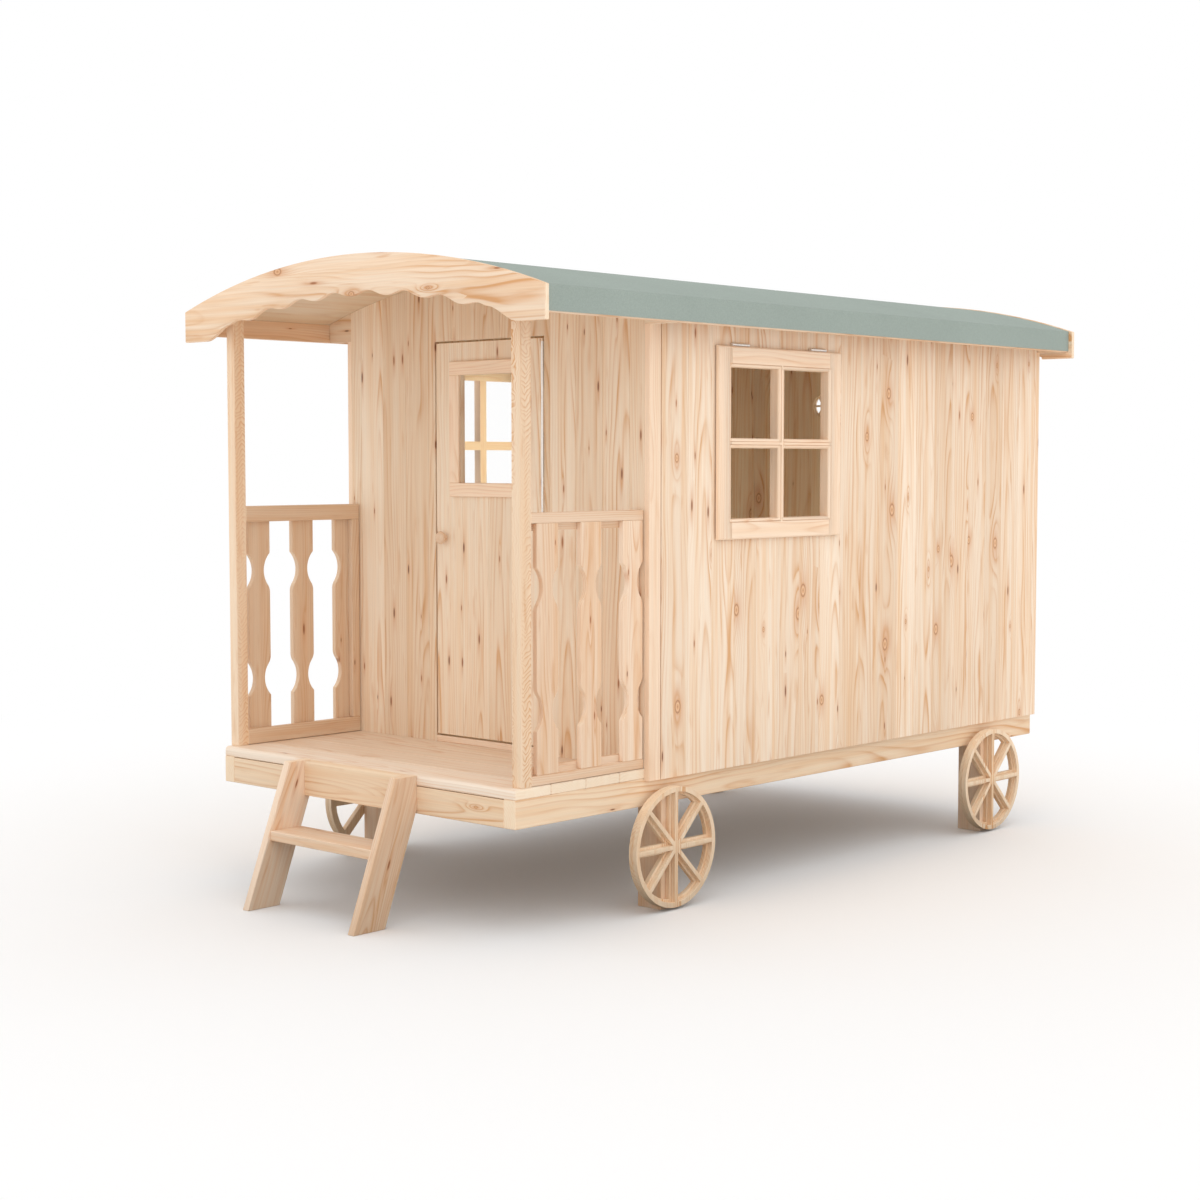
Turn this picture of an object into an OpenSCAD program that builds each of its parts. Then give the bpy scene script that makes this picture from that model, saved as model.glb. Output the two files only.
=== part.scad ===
// Children's wooden caravan playhouse on four display wheels.
// Axes: +X to the right when facing the door, +Y from the porch to the back, +Z up.
// The origin is on the ground, midway between the foot of the ladder and the rear fascia.

/* [Chassis] */
// Width over the rim boards, which is also the width of the floor
chassis_w = 1200; // [1100:10:1300]
// Length over the rim boards
chassis_l = 2518; // [2300:1:2700]
// Height from the ground to the underside of the rim boards
rim_bottom = 293; // [270:1:310]
// Depth of a rim board
rim_h = 75; // [60:1:95]
// Thickness of a rim board
rim_t = 42; // [34:1:45]
// Thickness of the floor boards
floor_t = 28; // [22:1:32]
// Radius of the rounded nose on the front floor board
nose_r = 11; // [6:1:13]

/* [Legs and wheels] */
// Width of a leg across the wagon
leg_w = 86; // [75:1:95]
// Depth of a leg along the wagon
leg_d = 66; // [50:1:80]
// How far a leg's outer cheek ends below the top of its wheel
cheek_drop = 12; // [8:1:20]
// Distance from the front rim to the front wheel centres
wheel_front_y = 582; // [560:1:620]
// Distance from the front rim to the rear wheel centres
wheel_rear_y = 2208; // [2150:1:2230]
// Outside diameter of a wheel
wheel_d = 334; // [320:1:345]
// Clearance between a wheel and the ground
wheel_lift = 7; // [2:1:12]
// Number of spokes
spokes = 8; // [6:2:10]
// Thickness of one of the two discs that make a wheel
disc_t = 14; // [12:1:18]
// Radial width of the outer disc's rim
ring_w = 14; // [10:1:20]
// Width of an outer spoke
spoke_w = 12; // [10:1:18]
// How far the inner disc shows past the outer one on every edge
disc_step = 7.5; // [4:0.5:9]

/* [Walls] */
// Thickness of the wall boards
wall_t = 17; // [14:1:19]
// Depth of the porch, from the front rim to the front wall
porch_d = 497; // [450:1:540]
// How far the side wall boards lap down over the rim
wall_lap = 6; // [2:1:20]
// Width of a corner trim board
trim_w = 51; // [45:1:60]

/* [Door] */
// Width of the doorway
doorway_w = 448; // [430:2:460]
// Height from the floor to the top of the doorway
doorway_top = 1186; // [1150:1:1200]
// Height of the strip under the door
threshold_h = 18; // [14:1:24]
// Running gap round the door leaf
door_gap = 6; // [5.5:0.5:8]
// Width of the glazed opening in the door
door_light_w = 229; // [200:1:260]
// Height of the glazed opening in the door
door_light_h = 314; // [280:1:330]
// Height from the floor to the bottom of the glazed opening
door_light_z = 771; // [740:1:790]
// Width of the casing round the glazed opening
casing_w = 40; // [30:1:46]
// How far the casing stands out from the door
casing_t = 10; // [8:1:14]
// Height of the knob's centre above the floor
knob_z = 609; // [580:1:640]
// Distance of the knob from the edge of the door
knob_margin = 16; // [10:1:22]
// Diameter of the knob
knob_d = 37; // [30:1:42]
// Height of a ledge board on the inner face of the door
ledge_h = 70; // [50:1:90]
// Clear height between a ledge and the door's foot or glazed opening
ledge_gap = 60; // [45:1:80]
// Distance from the end of the door to the end of its long hinge
hinge_inset = 10; // [5:1:40]

/* [Windows] */
// Width of a sash
sash_w = 576; // [520:1:600]
// Height of a sash
sash_h = 542; // [500:1:560]
// Height from the floor to the underside of a sash
sash_z = 614; // [580:1:620]
// Distance from the front rim to the centre of a sash
sash_y = 1062; // [1000:1:1150]
// Face width of the sash members
sash_member = 50; // [40:1:56]
// How far a sash stands out from the wall
sash_proud = 16; // [12:1:20]
// Thickness of the lip that covers the joint with the wall
sash_lip_t = 11.5; // [8:0.5:12]
// How far the lip covers the wall on every edge
sash_lip = 20; // [12:1:26]
// Radius of the rounded outer edges of a sash
sash_round = 6; // [2:1:8]
// Face width of the glazing bars
bar_w = 11; // [8:1:16]
// Radius of the ovolo moulding round each pane
ovolo_r = 8.5; // [6:0.5:10]
// Depth of the quirk in front of the moulding
quirk = 1; // [0.5:0.5:2]
// Width of the groove between a sash's face and its moulding
groove_w = 2; // [1:0.5:3]
// Depth of that groove
groove_d = 5; // [2:0.5:5]
// Distance from the front of a sash to its panes
pane_set = 27; // [20:1:29]
// Thickness of the panes
glass_t = 3; // [2:1:4]

/* [Porch] */
// Width of a porch post across the wagon
post_w = 34; // [30:1:45]
// Depth of a porch post along the wagon
post_d = 38; // [30:1:45]
// Distance from the front rim to a post
post_y = 23; // [15:1:40]
// Height of the railing above the floor
rail_z = 703; // [650:1:740]
// Depth of the top and bottom rails
rail_h = 46; // [40:1:52]
// Depth of the rebate that holds the balusters
rail_rebate = 19; // [14:1:22]
// Thickness of the flat balusters
baluster_t = 16; // [13:1:18]
// Width of a baluster
baluster_w = 80; // [70:1:84]
// Number of balusters in a railing
balusters = 3; // [2:1:4]
// Gap between the post and the first baluster
baluster_post_gap = 20; // [10:1:30]
// Gap between the last baluster and the wall
baluster_wall_gap = 6; // [3:1:15]
// Radius of the hollows cut in the baluster edges
hollow_r = 70; // [60:1:100]
// Depth of the hollows cut in the baluster edges
hollow_d = 22.4; // [16:0.2:26]
// Distance of the hollows from the middle of the baluster
hollow_z = 160; // [140:1:165]
// Radius of the swell between the hollows and the middle of the edge
swell_r = 40; // [20:1:50]

/* [Ladder] */
// Distance from the front rim to the front of the ladder's foot
ladder_reach = 226; // [200:1:260]
// Horizontal width of a ladder stringer
stringer_w = 110; // [95:1:115]
// Thickness of a ladder stringer
stringer_t = 24; // [20:1:28]
// Width over the ladder
ladder_w = 464; // [440:2:480]
// Height of the top of the tread above the ground
tread_z = 212; // [190:1:230]
// Thickness of the tread
tread_t = 27; // [22:1:28]

/* [Roof] */
// Height from the floor to the crown of the front fascia
crown_z = 1389; // [1370:1:1400]
// Radius of the roof's curve
roof_r = 2300; // [2200:10:2500]
// Width over the fascia boards
fascia_w = 1466; // [1440:2:1480]
// Thickness of the fascia boards
fascia_t = 15; // [12:1:18]
// How far the fascia boards stand above the felt
fascia_lip = 2.5; // [0:0.5:6]
// Overhang of the front fascia beyond the front rim
front_overhang = 25; // [15:1:40]
// Overhang of the rear fascia beyond the rear rim
rear_overhang = 27; // [20:1:40]
// Height from the floor to the flat ends of the fascia
fascia_end_z = 1181; // [1165:1:1195]
// Depth of the front fascia at a hollow of its wavy edge
fascia_d = 98; // [85:1:110]
// Rise of a wave on the lower edge of the front fascia
wave_h = 14; // [8:1:18]
// Angle between two waves, seen from the centre of the roof's curve
wave_a = 3.74; // [3.6:0.01:3.9]
// Distance from the centre line to where the flat fascia ends begin
wave_end_x = 640; // [630:1:660]
// Length of the slope between the waves and the flat ends
wave_slope_w = 118; // [100:1:130]
// Thickness of the roof boards
deck_t = 16; // [14:1:18]
// Thickness of the roofing felt
felt_t = 2.5; // [2:0.1:3]
// Width over the eave boards
eave_w = 1434; // [1430:2:1440]
// Thickness of the eave boards
eave_t = 15; // [12:1:18]
// Height from the floor to the underside of the eave boards
eave_z = 1201; // [1195:1:1210]
// Strip of the eave boards that shows below the felt
eave_show = 4; // [2:1:12]

/* [Rear vents] */
// Diameter of a vent hole
vent_d = 78; // [60:1:100]
// Distance of a vent from the centre line
vent_x = 284; // [240:1:340]
// Height of the vents above the floor
vent_z = 1039; // [1000:1:1080]
// Width of a vent's bars
vent_bar = 7; // [5:1:9]

/* [Hidden] */

half_w = chassis_w / 2;
rim_top = rim_bottom + rim_h;
floor_z = rim_top + floor_t;
wall_x = half_w + wall_t;
wall_z = rim_top - wall_lap;
wheel_r = wheel_d / 2;
wheel_z = wheel_r + wheel_lift;
cheek_top = wheel_z + wheel_r - cheek_drop;
rear_wall_y = chassis_l - wall_t;

// Roof: the fascia top, the felt, the boards and the ceiling share one centre
arc_z = floor_z + crown_z - roof_r;
felt_r = roof_r - fascia_lip;
deck_r = felt_r - felt_t;
ceiling_r = deck_r - deck_t;
eave_x = eave_w / 2;
eave_bottom = floor_z + eave_z;
roof_y0 = fascia_t - front_overhang;
roof_y1 = chassis_l + rear_overhang - fascia_t;

door_w = doorway_w - 2 * door_gap;
door_z0 = floor_z + threshold_h + door_gap;
door_z1 = floor_z + doorway_top - door_gap;
light_z = floor_z + door_light_z;
ledge_side = 30;
knob_x = -(door_w / 2 - knob_d / 2 - knob_margin);
knob_round = 9;
knob_stem = 10;

// A long hinge in the gap at the right-hand jamb, with its barrel on the porch side
hinge_x = door_w / 2 + door_gap / 2;
hinge_plate = 1.5;
hinge_r = 3.2;
hinge_clear = 0.3;
hinge_y = porch_d - hinge_r - hinge_clear;
hinge_h = door_z1 - door_z0 - 2 * hinge_inset;
hinge_shares = 9;
share_h = hinge_h / hinge_shares;
pin_r = 1.2;
pin_play = 0.2;
pin_end = 2;

// The sash fills its hole in the wall up to the lip, and its back stands just inside
sash_bottom = floor_z + sash_z;
sash_inset = 1;
sash_front_x = wall_x + sash_proud;
sash_back_x = half_w - sash_inset;
pane_w = (sash_w - 2 * sash_member - bar_w) / 2;
pane_h = (sash_h - 2 * sash_member - bar_w) / 2;

post_y1 = post_y + post_d;
rail_top = floor_z + rail_z;
baluster_pitch = (porch_d - post_y1 - baluster_post_gap - baluster_wall_gap - baluster_w)
    / (balusters - 1);
// Two rounds that run into each other cross by this much
round_overlap = 0.1;

ladder_slope = 150 / 396;
tread_front = tread_z * ladder_slope - ladder_reach;

// The origin lies midway along the whole length
mid_y = (chassis_l + rear_overhang - ladder_reach) / 2;

pine = "burlywood";
pale_pine = "wheat";
felt_grey = "darkseagreen";
steel = "silver";
clear = [0.75, 0.85, 0.88, 0.35];

// Stands its children on the part's own origin
module place() translate([0, -mid_y, 0]) children();

// Extrudes an outline drawn in X and Z from y0 to y1
module along_y(y0, y1) translate([0, y1, 0]) rotate([90, 0, 0]) linear_extrude(y1 - y0) children();

// Extrudes an outline drawn in Y and Z from x0 to x1
module along_x(x0, x1) translate([x0, 0, 0]) rotate([90, 0, 90]) linear_extrude(x1 - x0) children();

// Extrudes an outline drawn in X and Y from z0 to z1
module along_z(z0, z1) translate([0, 0, z0]) linear_extrude(z1 - z0) children();

// A box from corner a to corner b
module box(a, b) translate(a) cube(b - a);

// A part for the left side is the right one mirrored
module on_side(s) mirror([s < 0 ? 1 : 0, 0, 0]) children();

// A disc of the roof's curve, drawn in X and Z
module roof_arc(r) translate([0, arc_z]) circle(r, $fn = 360);

// Everything under the ceiling, as a solid between y0 and y1
module under_ceiling(y0, y1) along_y(y0, y1) roof_arc(ceiling_r);

function arc_height(r, x) = arc_z + sqrt(r * r - x * x);
function smooth(t) = (1 - cos(180 * t)) / 2;

module floor_deck() color(pale_pine) place()
    along_x(-half_w, half_w) {
        translate([nose_r, rim_top]) square([chassis_l - nose_r, floor_t]);
        translate([0, rim_top]) square([nose_r, floor_t - nose_r]);
        translate([nose_r, floor_z - nose_r]) circle(nose_r, $fn = 48);
    }

module rim_side(s) color(pine) place() on_side(s)
    box([half_w - rim_t, 0, rim_bottom], [half_w, chassis_l, rim_top]);

module rim_end(y0) color(pine) place()
    box([rim_t - half_w, y0, rim_bottom], [half_w - rim_t, y0 + rim_t, rim_top]);

// A leg straddles the rim board, and its outer cheek carries the wheel
module leg(s, y) color(pine) place() on_side(s) translate([0, y - leg_d / 2, 0])
    difference() {
        box([wall_x - leg_w, 0, 0], [wall_x, leg_d, rim_top]);
        box([half_w - rim_t, -1, rim_bottom], [half_w, leg_d + 1, rim_top + 1]);
        box([half_w - 1, -1, cheek_top], [wall_x + 1, leg_d + 1, rim_top + 1]);
    }

// One disc of a wheel: a ring and straight spokes across its whole width
module wheel_disc(ring, spoke) linear_extrude(disc_t) {
    difference() {
        circle(wheel_r, $fn = 180);
        circle(wheel_r - ring, $fn = 180);
    }
    for (i = [0 : spokes / 2 - 1])
        rotate(i * 360 / spokes) square([2 * (wheel_r - ring) + ring, spoke], center = true);
}

// A wide disc against the leg, and a narrower one in front of it
module wheel(s, y) color(pale_pine) place() on_side(s)
    translate([wall_x, y, wheel_z]) rotate([90, 0, 90]) {
        wheel_disc(ring_w + disc_step, spoke_w + 2 * disc_step);
        translate([0, 0, disc_t]) wheel_disc(ring_w, spoke_w);
    }

// A stringer leans on the rim with a plumb cut and ends level with the floor
module ladder_stringer(s) color(pine) place() on_side(s)
    along_x(ladder_w / 2 - stringer_t, ladder_w / 2)
        polygon([
            [-ladder_reach, 0],
            [stringer_w - ladder_reach, 0],
            [0, (ladder_reach - stringer_w) / ladder_slope],
            [0, floor_z],
            [floor_z * ladder_slope - ladder_reach, floor_z]
        ]);

module ladder_tread() color(pale_pine) place()
    box([stringer_t - ladder_w / 2, tread_front, tread_z - tread_t],
        [ladder_w / 2 - stringer_t, tread_front + stringer_w, tread_z]);

module porch_post(s) color(pine) place() on_side(s) intersection() {
    box([half_w - post_w, post_y, floor_z], [half_w, post_y1, floor_z + crown_z]);
    under_ceiling(post_y - 1, post_y1 + 1);
}

// The upper hollow in a baluster's right edge: a round cut with a sharp shoulder above
// it, and below it a swell that runs smoothly into the edge
module hollow() {
    edge_x = baluster_w / 2;
    cut = [edge_x - hollow_d + hollow_r, 0];
    swell_x = edge_x - swell_r + round_overlap;
    reach = hollow_r + swell_r - round_overlap;
    swell = [swell_x, -sqrt(reach * reach - (cut.x - swell_x) * (cut.x - swell_x))];
    translate([0, hollow_z]) {
        translate(cut) circle(hollow_r, $fn = 96);
        difference() {
            polygon([cut, cut + (swell - cut) * (hollow_r + 1) / reach, [edge_x, swell.y]]);
            translate(swell) circle(swell_r, $fn = 96);
        }
    }
}

// A flat baluster with two pairs of hollows, centred on its middle
module baluster_outline(h) difference() {
    square([baluster_w, h], center = true);
    for (side = [0, 1], end = [0, 1])
        mirror([side, 0]) mirror([0, end]) hollow();
}

// Two rebated rails, a stile on the wall and flat balusters in the outer rebate
module railing(s) color(pale_pine) place() on_side(s) {
    inner_x = half_w - post_w;
    rebate_x = half_w - baluster_t;
    baluster_z0 = floor_z + rail_h - rail_rebate;
    baluster_z1 = rail_top - rail_h + rail_rebate;
    first_y = post_y1 + baluster_post_gap + baluster_w / 2;
    along_y(post_y1, porch_d) {
        translate([inner_x, floor_z]) square([rebate_x - inner_x, rail_h]);
        translate([rebate_x, floor_z]) square([baluster_t, rail_h - rail_rebate]);
        translate([inner_x, rail_top - rail_h]) square([rebate_x - inner_x, rail_h]);
        translate([rebate_x, baluster_z1]) square([baluster_t, rail_top - baluster_z1]);
    }
    box([inner_x, porch_d - post_w, floor_z + rail_h], [rebate_x, porch_d, rail_top - rail_h]);
    for (i = [0 : balusters - 1])
        translate([0, first_y + i * baluster_pitch, (baluster_z0 + baluster_z1) / 2])
            along_x(rebate_x, half_w) baluster_outline(baluster_z1 - baluster_z0);
}

module front_wall_side(s) color(pale_pine) place() on_side(s)
    box([doorway_w / 2, porch_d, floor_z], [half_w, porch_d + wall_t, floor_z + doorway_top]);

// The arched board over the door runs out to the eave boards
module front_wall_head() color(pale_pine) place() intersection() {
    along_y(porch_d, porch_d + wall_t) {
        translate([-half_w, floor_z + doorway_top]) square([chassis_w, crown_z - doorway_top]);
        translate([eave_t - eave_x, eave_bottom])
            square([eave_w - 2 * eave_t, crown_z - eave_z]);
    }
    under_ceiling(porch_d - 1, porch_d + wall_t + 1);
}

module door_threshold() color(pine) place()
    box([-doorway_w / 2, porch_d, floor_z],
        [doorway_w / 2, porch_d + wall_t, floor_z + threshold_h]);

// A corner trim is notched round the head of the front wall
module corner_trim(s) color(pine) place() on_side(s) intersection() {
    difference() {
        box([half_w, porch_d, wall_z], [wall_x, porch_d + trim_w, floor_z + crown_z]);
        box([half_w - 1, porch_d - 1, eave_bottom],
            [wall_x + 1, porch_d + wall_t, floor_z + crown_z + 1]);
    }
    under_ceiling(porch_d - 1, porch_d + trim_w + 1);
}

module side_wall(s) color(pale_pine) place() on_side(s) intersection() {
    difference() {
        box([half_w, porch_d + trim_w, wall_z], [wall_x, chassis_l, floor_z + crown_z]);
        box([half_w - 1, sash_y - sash_w / 2 + sash_lip, sash_bottom + sash_lip],
            [wall_x + 1, sash_y + sash_w / 2 - sash_lip, sash_bottom + sash_h - sash_lip]);
        box([half_w - 1, rear_wall_y, eave_bottom],
            [wall_x + 1, chassis_l + 1, floor_z + crown_z + 1]);
    }
    under_ceiling(porch_d, chassis_l + 1);
}

// A round vent crossed by six radial bars
module vent_bars() linear_extrude(wall_t / 2) {
    difference() {
        circle(d = vent_d, $fn = 72);
        circle(d = vent_d - vent_bar, $fn = 72);
    }
    for (a = [0, 60, 120]) rotate(a) square([vent_d - vent_bar / 2, vent_bar], center = true);
}

module rear_wall() color(pale_pine) place() {
    difference() {
        intersection() {
            along_y(rear_wall_y, chassis_l) {
                translate([-half_w, floor_z]) square([chassis_w, crown_z]);
                translate([eave_t - eave_x, eave_bottom])
                    square([eave_w - 2 * eave_t, crown_z - eave_z]);
            }
            under_ceiling(rear_wall_y - 1, chassis_l + 1);
        }
        for (s = [-1, 1])
            translate([s * vent_x, chassis_l + 1, floor_z + vent_z])
                rotate([90, 0, 0]) cylinder(h = wall_t + 2, d = vent_d, $fn = 72);
    }
    for (s = [-1, 1])
        translate([s * vent_x, chassis_l, floor_z + vent_z]) rotate([90, 0, 0]) vent_bars();
}

// Places its children at the middle of each of the four panes of a sash
module at_panes() for (i = [-1, 1], j = [-1, 1])
    translate([0, sash_y + i * (pane_w + bar_w) / 2,
               sash_bottom + sash_h / 2 + j * (pane_h + bar_w) / 2]) children();

// Section across a pane of the given width: X is the depth, and the ovolo on each
// side starts behind the quirk and runs into the straight reveal
module pane_section(width) {
    moulding_x = sash_front_x - quirk - ovolo_r;
    difference() {
        translate([moulding_x, -width / 2]) square([quirk + ovolo_r + 1, width]);
        for (side = [-1, 1]) translate([moulding_x, side * width / 2]) circle(ovolo_r, $fn = 64);
    }
    translate([sash_back_x - 1, ovolo_r - width / 2])
        square([moulding_x - sash_back_x + 1, width - 2 * ovolo_r]);
}

// The cut for one pane, whose mouldings meet in mitres, and the groove round them
module pane_cut() {
    intersection() {
        along_z(-pane_h / 2, pane_h / 2) pane_section(pane_w);
        rotate([90, 0, 0]) translate([0, 0, -pane_w / 2])
            linear_extrude(pane_w) pane_section(pane_h);
    }
    translate([sash_front_x - groove_d, 0, 0]) rotate([90, 0, 90])
        linear_extrude(groove_d + 1) difference() {
            square([pane_w + 2 * groove_w, pane_h + 2 * groove_w], center = true);
            square([pane_w, pane_h], center = true);
        }
}

// Section across a sash of the given width: the lip with two rounded front edges
module lip_section(width) {
    translate([sash_front_x - sash_lip_t, -width / 2]) square([sash_lip_t - sash_round, width]);
    translate([sash_front_x - sash_round, sash_round - width / 2])
        square([sash_round, width - 2 * sash_round]);
    for (side = [-1, 1])
        translate([sash_front_x - sash_round, side * (width / 2 - sash_round)])
            circle(sash_round, $fn = 48);
}

// A sash fills its hole in the wall, and a lip stands proud in front of the wall
module window_sash(s) color(pine) place() on_side(s) {
    body_w = sash_w - 2 * sash_lip;
    body_h = sash_h - 2 * sash_lip;
    middle = [0, sash_y, sash_bottom + sash_h / 2];
    difference() {
        union() {
            translate(middle) intersection() {
                along_z(-sash_h / 2, sash_h / 2) lip_section(sash_w);
                rotate([90, 0, 0]) translate([0, 0, -sash_w / 2])
                    linear_extrude(sash_w) lip_section(sash_h);
            }
            translate([sash_back_x, sash_y - body_w / 2, sash_bottom + sash_lip])
                cube([sash_front_x - sash_lip_t - sash_back_x, body_w, body_h]);
        }
        at_panes() pane_cut();
    }
}

module window_glass(s) color(clear) place() on_side(s) at_panes()
    translate([sash_front_x - pane_set - glass_t, ovolo_r - pane_w / 2, ovolo_r - pane_h / 2])
        cube([glass_t, pane_w - 2 * ovolo_r, pane_h - 2 * ovolo_r]);

// The door leaf with two ledges across its inner face
module door_leaf() color(pale_pine) place() {
    inner_y = porch_d + wall_t;
    difference() {
        box([-door_w / 2, porch_d, door_z0], [door_w / 2, inner_y, door_z1]);
        box([-door_light_w / 2, porch_d - 1, light_z],
            [door_light_w / 2, inner_y + 1, light_z + door_light_h]);
    }
    for (z = [door_z0 + ledge_gap, light_z - ledge_gap - ledge_h])
        box([ledge_side - door_w / 2, inner_y, z],
            [door_w / 2 - ledge_side, inner_y + wall_t, z + ledge_h]);
}

module door_casing() color(pine) place() difference() {
    box([-door_light_w / 2 - casing_w, porch_d - casing_t, light_z - casing_w],
        [door_light_w / 2 + casing_w, porch_d, light_z + door_light_h + casing_w]);
    box([-door_light_w / 2, porch_d - casing_t - 1, light_z],
        [door_light_w / 2, porch_d + 1, light_z + door_light_h]);
}

module door_glass() color(clear) place()
    box([-door_light_w / 2, porch_d + (wall_t - glass_t) / 2, light_z],
        [door_light_w / 2, porch_d + (wall_t + glass_t) / 2, light_z + door_light_h]);

// A turned knob on a short stem
module door_knob() color(pine) place()
    translate([knob_x, porch_d, floor_z + knob_z]) rotate([90, 0, 0])
        rotate_extrude($fn = 64) {
            square([knob_d / 4, knob_stem + 1]);
            translate([0, knob_stem])
                square([knob_d / 2 - knob_round, 2 * knob_round]);
            translate([knob_d / 2 - knob_round, knob_stem + knob_round])
                circle(knob_round, $fn = 48);
        }

// One share of the hinge's barrel, with the web that joins it to a flap
module hinge_share(i) translate([0, 0, (i - hinge_shares / 2) * share_h]) {
    cylinder(h = share_h, r = hinge_r, $fn = 48);
    translate([door_gap / 2 - hinge_plate, 0, 0])
        cube([hinge_plate, hinge_r + hinge_clear + 1, share_h]);
}

// A hinge flap lies on the edge of the wall, and starts clear of the barrel
module hinge_flap()
    translate([door_gap / 2 - hinge_plate, hinge_r + hinge_clear, -hinge_h / 2])
        cube([hinge_plate, wall_t, hinge_h]);

// Places its children at the middle of the hinge's axis
module at_hinge() translate([hinge_x, hinge_y, (door_z0 + door_z1) / 2]) children();

// The fixed half of the hinge: its flap on the jamb, every second share and the pin
module door_hinges() color(steel) place() at_hinge() {
    for (i = [1 : 2 : hinge_shares - 2]) hinge_share(i);
    hinge_flap();
    cylinder(h = hinge_h + 2 * pin_end, r = pin_r, center = true, $fn = 48);
}

// The moving half of the hinge: its flap on the door's edge and the bored shares
module door_hinge_flaps() color(steel) place() at_hinge() mirror([1, 0, 0]) {
    hinge_flap();
    difference() {
        for (i = [0 : 2 : hinge_shares - 1]) hinge_share(i);
        cylinder(h = hinge_h + 2, r = pin_r + pin_play, center = true, $fn = 48);
    }
}

// Curved boards from eave to eave, in one shell
module roof_deck() color(pine) place() along_y(roof_y0, roof_y1) intersection() {
    difference() {
        roof_arc(deck_r);
        roof_arc(ceiling_r);
    }
    translate([-eave_x, 0]) square([eave_w, floor_z + crown_z]);
}

// Felt over the boards, turned down over both eave boards
module roof_felt() color(felt_grey) place() along_y(roof_y0, roof_y1) {
    intersection() {
        difference() {
            roof_arc(felt_r);
            roof_arc(deck_r);
        }
        translate([-eave_x - felt_t, 0]) square([eave_w + 2 * felt_t, floor_z + crown_z]);
    }
    felt_drop_z = arc_height(felt_r - felt_t / 2, eave_x + felt_t);
    for (side = [-1, 1])
        translate([side * (eave_x + felt_t / 2) - felt_t / 2, eave_bottom + eave_show])
            square([felt_t, felt_drop_z - eave_bottom - eave_show]);
}

module eave_board(s) color(pine) place() on_side(s) intersection() {
    box([eave_x - eave_t, roof_y0, eave_bottom], [eave_x, roof_y1, floor_z + crown_z]);
    under_ceiling(roof_y0 - 1, roof_y1 + 1);
}

// Lower edge of the front fascia: waves along the arch, a slope, then a flat end
wave_limit_x = wave_end_x - wave_slope_w;
wave_pitch = wave_end_x / 80;
function wave_z(x) =
    let (a = asin(x / (roof_r - fascia_d)))
    let (r = roof_r - fascia_d - wave_h * (1 + cos(360 * a / wave_a)) / 2)
    arc_height(r, x);
function fascia_edge(x) =
    let (t = (abs(x) - wave_limit_x) / wave_slope_w)
    let (end_z = floor_z + fascia_end_z)
    t >= 1 ? end_z : t <= 0 ? wave_z(x)
    : end_z + (wave_z(wave_limit_x) - end_z) * (1 - smooth(t));

// Fascia outline: the lower edge first, then the square ends under the arch
module fascia_outline(lower) intersection() {
    top_z = floor_z + crown_z + 1;
    polygon(concat(lower, [[fascia_w / 2, top_z], [-fascia_w / 2, top_z]]));
    roof_arc(roof_r);
}

module fascia_front() color(pine) place() along_y(-front_overhang, roof_y0)
    fascia_outline(concat(
        [[-fascia_w / 2, floor_z + fascia_end_z]],
        [for (x = [-wave_end_x : wave_pitch : wave_end_x]) [x, fascia_edge(x)]],
        [[fascia_w / 2, floor_z + fascia_end_z]]
    ));

// The rear fascia has a plain arched lower edge between its flat ends
module fascia_rear() color(pine) place() along_y(roof_y1, roof_y1 + fascia_t)
    difference() {
        fascia_outline([
            [-fascia_w / 2, floor_z + fascia_end_z],
            [fascia_w / 2, floor_z + fascia_end_z]
        ]);
        intersection() {
            roof_arc(roof_r - fascia_d - wave_h);
            translate([-wall_x, 0]) square([2 * wall_x, floor_z + crown_z]);
        }
    }

floor_deck();
rim_side(-1);  // rim_left
rim_side(1);  // rim_right
rim_end(0);  // rim_front
rim_end(chassis_l - rim_t);  // rim_rear
leg(-1, wheel_front_y);  // leg_front_left
leg(1, wheel_front_y);  // leg_front_right
leg(-1, wheel_rear_y);  // leg_rear_left
leg(1, wheel_rear_y);  // leg_rear_right
wheel(-1, wheel_front_y);  // wheel_front_left
wheel(1, wheel_front_y);  // wheel_front_right
wheel(-1, wheel_rear_y);  // wheel_rear_left
wheel(1, wheel_rear_y);  // wheel_rear_right
ladder_stringer(-1);  // ladder_stringer_left
ladder_stringer(1);  // ladder_stringer_right
ladder_tread();
porch_post(-1);  // porch_post_left
porch_post(1);  // porch_post_right
railing(-1);  // railing_left
railing(1);  // railing_right
front_wall_side(-1);  // front_wall_left
front_wall_side(1);  // front_wall_right
front_wall_head();
door_threshold();
corner_trim(-1);  // corner_trim_left
corner_trim(1);  // corner_trim_right
side_wall(-1);  // side_wall_left
side_wall(1);  // side_wall_right
rear_wall();
window_sash(-1);  // window_sash_left
window_sash(1);  // window_sash_right
window_glass(-1);  // window_glass_left
window_glass(1);  // window_glass_right
door_leaf();
door_casing();
door_glass();
door_knob();
door_hinges();
door_hinge_flaps();
roof_deck();
roof_felt();
eave_board(-1);  // eave_board_left
eave_board(1);  // eave_board_right
fascia_front();
fascia_rear();
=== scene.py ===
"""Looks of a small wooden playhouse wagon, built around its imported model."""

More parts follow.
